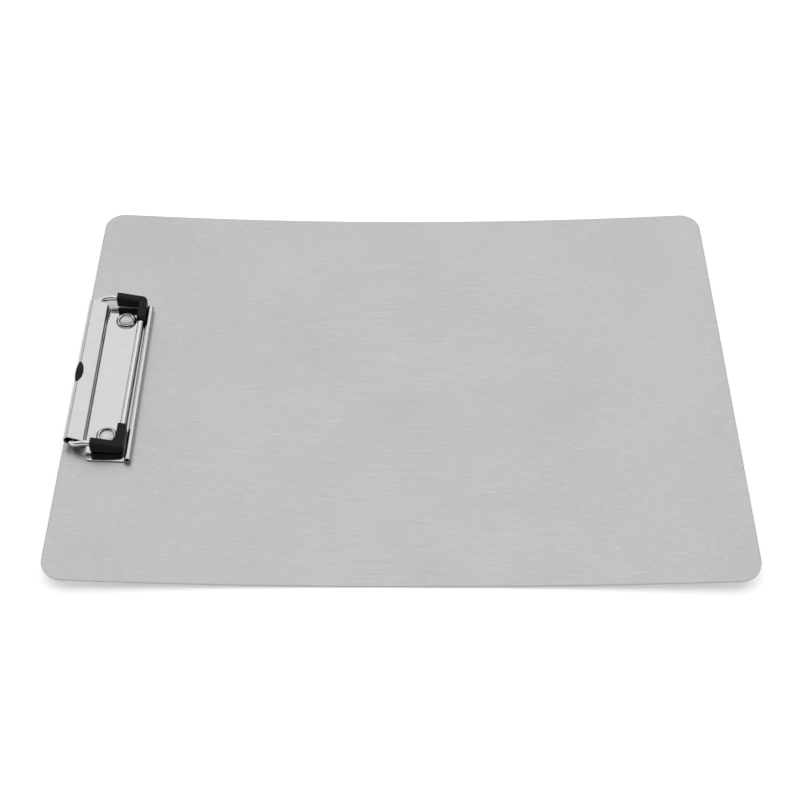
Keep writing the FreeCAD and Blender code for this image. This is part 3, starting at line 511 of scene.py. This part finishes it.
# %% [markdown]
# ## Material tools
# Colours are written as the eye sees them, in sRGB hex, and turned to linear light by one function. Patterns
# are noise in object coordinates, which are metres here, so a feature of a known size in millimetres needs a
# scale of one over that size. One small function adds any node with its settings, values and links.

# %% Colour, pattern size, node, material
def colour(code):
    """An sRGB hex colour as linear RGBA."""
    parts = np.array([int(code[i:i + 2], 16) for i in (1, 3, 5)]) / 255
    linear = np.where(parts <= 0.04045, parts / 12.92, ((parts + 0.055) / 1.055) ** 2.4)
    return (*linear.tolist(), 1.0)


def per_metre(size):
    """How many features of this size in millimetres fit in one metre."""
    return 1 / (size * MM)


def add(tree, kind, inputs=None, links=None, **settings):
    """A node with its settings and input values; links maps each input to the output that feeds it."""
    node = tree.nodes.new(kind)
    for name, value in settings.items():
        setattr(node, name, value)
    for name, value in (inputs or {}).items():
        node.inputs[name].default_value = value
    for name, output in (links or {}).items():
        tree.links.new(output, node.inputs[name])
    return node


def new_material(name, **sockets):
    """A Principled material; returns it with its tree, its shader and its object coordinates."""
    material = bpy.data.materials.new(name)
    material.use_nodes = True
    tree = material.node_tree
    shader = tree.nodes["Principled BSDF"]
    for socket, value in sockets.items():
        shader.inputs[socket.replace("_", " ")].default_value = value
    return material, tree, shader, add(tree, "ShaderNodeTexCoord").outputs["Object"]


print("A 0.2 mm stroke needs a scale of", round(per_metre(0.2)))

# %% [markdown]
# ### Brushed stainless steel
# The board was finished on an abrasive belt that ran along its length. Each grain left a fine stroke a few
# centimetres long, and here and there a coarser grain left a short bright scratch. An image of brushed steel
# could be mapped on, but noise stretched along X gives strokes that never repeat and need no UV map.

# %% Brushed stainless steel
# To the eye: a soft grey sheen with faint lengthwise lines, no clear mirror image, and a slow cloud of gloss.
# Real strokes are about 0.02 mm wide and real scratches about 0.05 mm. Both are drawn coarser, to show.
STROKE_LONG, STROKE_WIDE = 28.0, 0.19
SCRATCH_LONG, SCRATCH_WIDE = 9.0, 0.45
CLOUD = 55.0
steel, tree, shader, place = new_material("brushed stainless steel", Metallic=1.0)
belt = add(tree, "ShaderNodeMapping", {"Scale": (per_metre(STROKE_LONG), per_metre(STROKE_WIDE),
                                                 per_metre(STROKE_WIDE))}, {"Vector": place})
strokes = add(tree, "ShaderNodeTexNoise", {"Scale": 1.0, "Detail": 3.0, "Roughness": 0.65},
              {"Vector": belt.outputs["Vector"]})
coarse = add(tree, "ShaderNodeMapping", {"Scale": (per_metre(SCRATCH_LONG), per_metre(SCRATCH_WIDE),
                                                   per_metre(SCRATCH_WIDE))}, {"Vector": place})
grit = add(tree, "ShaderNodeTexNoise", {"Scale": 1.0, "Detail": 1.0}, {"Vector": coarse.outputs["Vector"]})
scratch = add(tree, "ShaderNodeMapRange", {"From Min": 0.66, "From Max": 0.8, "To Max": 0.3},
              {"Value": grit.outputs["Fac"]})
cloud = add(tree, "ShaderNodeTexNoise", {"Scale": per_metre(CLOUD), "Detail": 2.0}, {"Vector": place})
shade = add(tree, "ShaderNodeMix", {"A": colour("#979797"), "B": colour("#c3c3c3")},
            {"Factor": strokes.outputs["Fac"]}, data_type="RGBA")
scored = add(tree, "ShaderNodeMix", {"B": colour("#e6e6e6")},
             {"Factor": scratch.outputs["Result"], "A": shade.outputs["Result"]}, data_type="RGBA")
gloss = add(tree, "ShaderNodeMapRange", {"From Min": 0.3, "From Max": 0.7, "To Min": 0.36, "To Max": 0.44},
            {"Value": cloud.outputs["Fac"]})
relief = add(tree, "ShaderNodeBump", {"Distance": 0.004 * MM, "Strength": 0.6},
             {"Height": strokes.outputs["Fac"]})
tree.links.new(scored.outputs["Result"], shader.inputs["Base Color"])
tree.links.new(gloss.outputs["Result"], shader.inputs["Roughness"])
tree.links.new(relief.outputs["Normal"], shader.inputs["Normal"])
print(steel.name, "- strokes", STROKE_LONG, "by", STROKE_WIDE, "mm")

# %% [markdown]
# ### Bright nickel plate
# Base, lever and rivets are mild steel with bright nickel over it. The plating is a mirror, but the pressed
# sheet under it is never quite flat, so what it mirrors wavers. A perfectly smooth shader looks like glass;
# a weak noise of a few millimetres in colour, gloss and bump is enough to look pressed.

# %% Bright nickel plate
# To the eye: a pale, neutral grey mirror with a faint waviness and no grain.
RIPPLE = 6.2
plate, tree, shader, place = new_material("bright nickel plate", Metallic=1.0)
haze = add(tree, "ShaderNodeTexNoise", {"Scale": per_metre(RIPPLE), "Detail": 3.0}, {"Vector": place})
shade = add(tree, "ShaderNodeMix", {"A": colour("#b6b6b6"), "B": colour("#bfbfbf")},
            {"Factor": haze.outputs["Fac"]}, data_type="RGBA")
gloss = add(tree, "ShaderNodeMapRange", {"From Min": 0.3, "From Max": 0.7, "To Min": 0.05, "To Max": 0.12},
            {"Value": haze.outputs["Fac"]})
relief = add(tree, "ShaderNodeBump", {"Distance": 0.008 * MM, "Strength": 0.3},
             {"Height": haze.outputs["Fac"]})
tree.links.new(shade.outputs["Result"], shader.inputs["Base Color"])
tree.links.new(gloss.outputs["Result"], shader.inputs["Roughness"])
tree.links.new(relief.outputs["Normal"], shader.inputs["Normal"])
print(plate.name, "- ripple", RIPPLE, "mm")

# %% [markdown]
# ### Polished chrome wire
# The wire was drawn through a die, bent, polished and chromed. Drawing leaves it rounder and smoother than
# pressed sheet, so it gets a finer, weaker variation and no bump at all.

# %% Polished chrome wire
# To the eye: the brightest metal here, with hard light and dark lines along its length.
DRAWN = 3.3
chrome, tree, shader, place = new_material("polished chrome wire", Metallic=1.0)
drawn = add(tree, "ShaderNodeTexNoise", {"Scale": per_metre(DRAWN)}, {"Vector": place})
shade = add(tree, "ShaderNodeMix", {"A": colour("#c4c4c4"), "B": colour("#cecece")},
            {"Factor": drawn.outputs["Fac"]}, data_type="RGBA")
gloss = add(tree, "ShaderNodeMapRange", {"To Min": 0.03, "To Max": 0.1}, {"Value": drawn.outputs["Fac"]})
tree.links.new(shade.outputs["Result"], shader.inputs["Base Color"])
tree.links.new(gloss.outputs["Result"], shader.inputs["Roughness"])
print(chrome.name, "- drawing marks", DRAWN, "mm")

# %% [markdown]
# ### Matt tumbled steel
# The floor of each rivet's bore kept the skin of the tumbled blank, because polishing never reached it. Its
# grain is about a fifth of a millimetre, which no pixel would show, so it is drawn five times as coarse.

# %% Matt tumbled steel
# To the eye: a grainy light grey that scatters the light and mirrors nothing.
GRAIN = 1.0                                 # the real grain is about 0.2 mm: drawn coarser, to show
grain, tree, shader, place = new_material("matt tumbled steel", Metallic=1.0)
pits = add(tree, "ShaderNodeTexNoise", {"Scale": per_metre(GRAIN), "Detail": 4.0, "Roughness": 0.75},
           {"Vector": place})
shade = add(tree, "ShaderNodeMix", {"A": colour("#5c5c5d"), "B": colour("#ffffff")},
            {"Factor": pits.outputs["Fac"]}, data_type="RGBA")
gloss = add(tree, "ShaderNodeMapRange", {"To Min": 0.3, "To Max": 0.65}, {"Value": pits.outputs["Fac"]})
relief = add(tree, "ShaderNodeBump", {"Distance": 0.06 * MM, "Strength": 0.6},
             {"Height": pits.outputs["Fac"]})
tree.links.new(shade.outputs["Result"], shader.inputs["Base Color"])
tree.links.new(gloss.outputs["Result"], shader.inputs["Roughness"])
tree.links.new(relief.outputs["Normal"], shader.inputs["Normal"])
print(grain.name, "- grain", GRAIN, "mm")

# %% [markdown]
# ### Tempered spring steel
# The leaf is rolled strip, hardened and tempered, and left bare. Rolling stretches its marks along the strip,
# so the noise is longer one way than the other, and tempering leaves it darker than the plated parts.

# %% Tempered spring steel
# To the eye: a dull blue-grey strip with short rolling marks.
ROLLED_LONG, ROLLED_WIDE = 8.3, 1.1
spring, tree, shader, place = new_material("tempered spring steel", Metallic=1.0)
strip = add(tree, "ShaderNodeMapping", {"Scale": (per_metre(ROLLED_LONG), per_metre(ROLLED_WIDE),
                                                  per_metre(ROLLED_WIDE))}, {"Vector": place})
rolled = add(tree, "ShaderNodeTexNoise", {"Scale": 1.0}, {"Vector": strip.outputs["Vector"]})
shade = add(tree, "ShaderNodeMix", {"A": colour("#77797c"), "B": colour("#8f9194")},
            {"Factor": rolled.outputs["Fac"]}, data_type="RGBA")
gloss = add(tree, "ShaderNodeMapRange", {"To Min": 0.2, "To Max": 0.45}, {"Value": rolled.outputs["Fac"]})
tree.links.new(shade.outputs["Result"], shader.inputs["Base Color"])
tree.links.new(gloss.outputs["Result"], shader.inputs["Roughness"])
print(spring.name, "- rolling marks", ROLLED_LONG, "by", ROLLED_WIDE, "mm")

# %% [markdown]
# ### Black moulded plastic
# Sleeves and bumper are injection moulded, and the spark-eroded mould left a fine matt texture. Its specular
# level is low, because such a texture scatters most of the shine that smooth plastic would show.

# %% Black moulded plastic
# To the eye: a soft near-black whose edges catch a little light and whose faces show no reflection.
MOULD_TEXTURE = 0.38                        # the real texture is about 0.1 mm: drawn coarser, to show
plastic, tree, shader, place = new_material("black moulded plastic", Specular_IOR_Level=0.05)
texture = add(tree, "ShaderNodeTexNoise", {"Scale": per_metre(MOULD_TEXTURE), "Detail": 3.0}, {"Vector": place})
shade = add(tree, "ShaderNodeMix", {"A": colour("#1f1f20"), "B": colour("#272728")},
            {"Factor": texture.outputs["Fac"]}, data_type="RGBA")
gloss = add(tree, "ShaderNodeMapRange", {"To Min": 0.25, "To Max": 0.5}, {"Value": texture.outputs["Fac"]})
relief = add(tree, "ShaderNodeBump", {"Distance": 0.03 * MM, "Strength": 0.5},
             {"Height": texture.outputs["Fac"]})
tree.links.new(shade.outputs["Result"], shader.inputs["Base Color"])
tree.links.new(gloss.outputs["Result"], shader.inputs["Roughness"])
tree.links.new(relief.outputs["Normal"], shader.inputs["Normal"])
print(plastic.name, "- texture", MOULD_TEXTURE, "mm")

# %% [markdown]
# ## Dressing the frame
# Now each surface takes its material, replaces its CAD node and rides on the body that carries it, so
# the lever, bail, sleeves and bumper swing together about the hinge bead.

# %% Dressing
def dress(piece, node, slot, body, *materials):
    """Gives a piece its materials, its CAD node and its body; the finish slot is not used."""
    for material in materials:
        piece.data.materials.append(material)
    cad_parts[node].data.materials.clear()
    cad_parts[node].data.materials.append(materials[0])
    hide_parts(node)
    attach(piece, body)


dress(board, "board", "board_steel", "board_body", steel)
dress(base, "clip_base", "clip_plate", "board_body", plate)
dress(leaf, "leaf_spring", "spring_steel", "board_body", spring)
dress(lever, "lever", "clip_plate", "clip_lever", plate)
dress(bail, "bail_wire", "wire_chrome", "clip_lever", chrome)
dress(bumper, "lever_bumper", "black_plastic", "clip_lever", plastic)
for end in ("far", "near"):
    dress(sleeves[end], f"corner_sleeve_{end}", "black_plastic", "clip_lever", plastic)
    dress(rivets[end], f"rivet_{end}", "rivet_steel", "board_body", plate, grain)

# %% [markdown]
# A rivet has two finishes. Its faces are sorted by place: those inside the bore's radius and near its floor
# take the second material. The leaf spring bends when the lever is pressed; here it only gets a mesh of its
# own. The leaf spring bends when the lever is pressed, so it is squashed flat against the board as the
# joint closes, to a fifth of its height, which keeps it clear of the fold.

# %% Rivet bores and the leaf's own mesh
for end, rivet in rivets.items():
    faces = rivet.data.polygons
    centres = np.zeros(len(faces) * 3)
    faces.foreach_get("center", centres)
    local = (centres.reshape(-1, 3) / MM - CLIP_ORIGIN) @ CLIP_AXES.T
    near_floor = (local[:, 2] > SEAT) & (local[:, 2] < BORE_FLOOR + FLOOR_BAND)
    off_axis = np.hypot(local[:, 0] - RIVET_X, np.abs(local[:, 1]) - RIVET_Y)
    in_bore = near_floor & (off_axis < BORE)
    faces.foreach_set("material_index", in_bore.astype(np.int32))
    print(f"rivet_{end}: {in_bore.sum()} faces of bore floor")
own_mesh(leaf)

# %% [markdown]
# ## Floor
# The board lies on a sheet of white paper. Light alone would have to be strong to bring the paper to full
# white, and would burn out the metal. So the paper also glows a little, but only for rays that look at it,
# from the camera, from a mirror or through glass. It sends no extra light to the object and keeps its shadow.

# %% Floor
FLOOR, GLOW = 4.0, 0.3
floor_mesh = bpy.data.meshes.new("studio_floor")
floor_mesh.from_pydata([(-FLOOR, -FLOOR, 0), (FLOOR, -FLOOR, 0), (FLOOR, FLOOR, 0), (-FLOOR, FLOOR, 0)], [],
                       [(0, 1, 2, 3)])
floor = bpy.data.objects.new("studio_floor", floor_mesh)
bpy.context.scene.collection.objects.link(floor)
paper, tree, shader, _ = new_material("white paper floor", Base_Color=colour("#ffffff"), Roughness=1.0,
                                      Specular_IOR_Level=0.0, Emission_Color=colour("#ffffff"))
ray = add(tree, "ShaderNodeLightPath").outputs
seen = add(tree, "ShaderNodeMath", links={0: ray["Is Camera Ray"], 1: ray["Is Glossy Ray"]},
           operation="MAXIMUM")
looked_at = add(tree, "ShaderNodeMath", links={0: seen.outputs[0], 1: ray["Is Transmission Ray"]},
                operation="MAXIMUM")
glow = add(tree, "ShaderNodeMath", {1: GLOW}, {0: looked_at.outputs[0]}, operation="MULTIPLY")
tree.links.new(glow.outputs[0], shader.inputs["Emission Strength"])
floor_mesh.materials.append(paper)
print("Floor:", 2 * FLOOR, "m square")

# %% [markdown]
# ## Light
# Polished metal looks like the room it stands in. A plain white room would leave it flat and grey, so the
# room has a large soft light overhead and three dark panels, which photographers call flags. Their
# reflections draw the dark lines along the beads and the dark crescents on the rivets' rings.
# Real cards could be hung for this, but they would throw shadows and stand in other views. Here they are
# painted on the world by direction: how far round from the front, and how high, both in degrees.

# %% Overhead softbox
LAMP_PLACE, LAMP_WIDE, LAMP_DEEP, LAMP_POWER = (0.0, 1.35, 1.3), 4.0, 3.2, 14
lamp_data = bpy.data.lights.new("overhead softbox", "AREA")
lamp_data.shape = "RECTANGLE"
lamp_data.size, lamp_data.size_y, lamp_data.energy = LAMP_WIDE, LAMP_DEEP, LAMP_POWER
lamp = bpy.data.objects.new("overhead softbox", lamp_data)
lamp.location = LAMP_PLACE
bpy.context.scene.collection.objects.link(lamp)
print("Overhead softbox:", LAMP_POWER, "W")

# %% [markdown]
# The walls are white. Each flag is a window of directions, given by its middle bearing, half its width, its
# middle height and half its height, and it fades over a few degrees, as a card out of focus would.

# %% White room with dark flags
FLAGS = {"camera side": (0, 85, 48, 18), "left": (-144, 8, 40, 6), "right": (129, 12, 12, 7)}
SOFT_EDGE = 3
world = bpy.data.worlds.new("studio")
bpy.context.scene.world = world
world.use_nodes = True
tree = world.node_tree
way = add(tree, "ShaderNodeTexCoord").outputs["Generated"]
parts = add(tree, "ShaderNodeSeparateXYZ", links={"Vector": way}).outputs
front = add(tree, "ShaderNodeMath", {1: -1.0}, {0: parts["Y"]}, operation="MULTIPLY")
bearing = add(tree, "ShaderNodeMath", links={0: parts["X"], 1: front.outputs[0]}, operation="ARCTAN2")
height = add(tree, "ShaderNodeMath", links={0: parts["Z"]}, operation="ARCSINE")
backdrop = tree.nodes["Background"]
walls = {}
for flag, (middle, wide, level, tall) in FLAGS.items():
    inside = []
    for angle, centre, half in ((bearing, middle, wide), (height, level, tall)):
        off = add(tree, "ShaderNodeMath", {1: math.radians(centre)}, {0: angle.outputs[0]},
                  operation="SUBTRACT")
        away = add(tree, "ShaderNodeMath", links={0: off.outputs[0]}, operation="ABSOLUTE")
        inside.append(add(tree, "ShaderNodeMapRange", {"From Min": math.radians(half + SOFT_EDGE),
                                                       "From Max": math.radians(half - SOFT_EDGE)},
                          {"Value": away.outputs[0]}, interpolation_type="SMOOTHSTEP"))
    share = add(tree, "ShaderNodeMath", links={0: inside[0].outputs[0], 1: inside[1].outputs[0]},
                operation="MULTIPLY")
    panel = add(tree, "ShaderNodeMix", {"A": colour("#ffffff"), "B": colour("#303030")},
                {"Factor": share.outputs[0], **walls}, data_type="RGBA")
    walls = {"A": panel.outputs["Result"]}
    print("Flag on the", flag, "from", level - tall, "to", level + tall, "degrees up")
tree.links.new(walls["A"], backdrop.inputs["Color"])
backdrop.inputs["Strength"].default_value = 1.0

# %% [markdown]
# ## Camera
# The camera stands at the near long side and looks down at about 52 degrees. Its place, its three turns and
# its focal length in pixels were fitted to the board's four corners. A camera is turned by a matrix here,
# because the three directions of its picture are easier to check than three Euler angles.

# %% Camera
FOCAL_PIXELS, IMAGE_PIXELS, SENSOR = 1353.73, 800, 36.0
PITCH, YAW, ROLL = 0.907223, -0.0072812, -0.0040554
CAMERA_PLACE = (0.002172, -0.41189, 0.51576)
ahead = np.array([math.sin(YAW) * math.cos(PITCH), math.cos(YAW) * math.cos(PITCH), -math.sin(PITCH)])
sideways = np.array([math.cos(YAW), -math.sin(YAW), 0])
upright = np.cross(sideways, ahead)
right = math.cos(ROLL) * sideways + math.sin(ROLL) * upright
upward = -math.sin(ROLL) * sideways + math.cos(ROLL) * upright
lens_data = bpy.data.cameras.new("photo_camera")
lens_data.sensor_width = SENSOR
lens_data.lens = FOCAL_PIXELS * SENSOR / IMAGE_PIXELS
lens_data.clip_start, lens_data.clip_end = 0.01, 50
camera = bpy.data.objects.new("photo_camera", lens_data)
camera.matrix_world = Matrix(np.column_stack([right, upward, -ahead]).tolist()).to_4x4()
camera.location = CAMERA_PLACE
bpy.context.scene.collection.objects.link(camera)
bpy.context.scene.camera = camera
bpy.context.scene.view_settings.view_transform = "Standard"
print("Focal length:", round(lens_data.lens, 1), "mm")
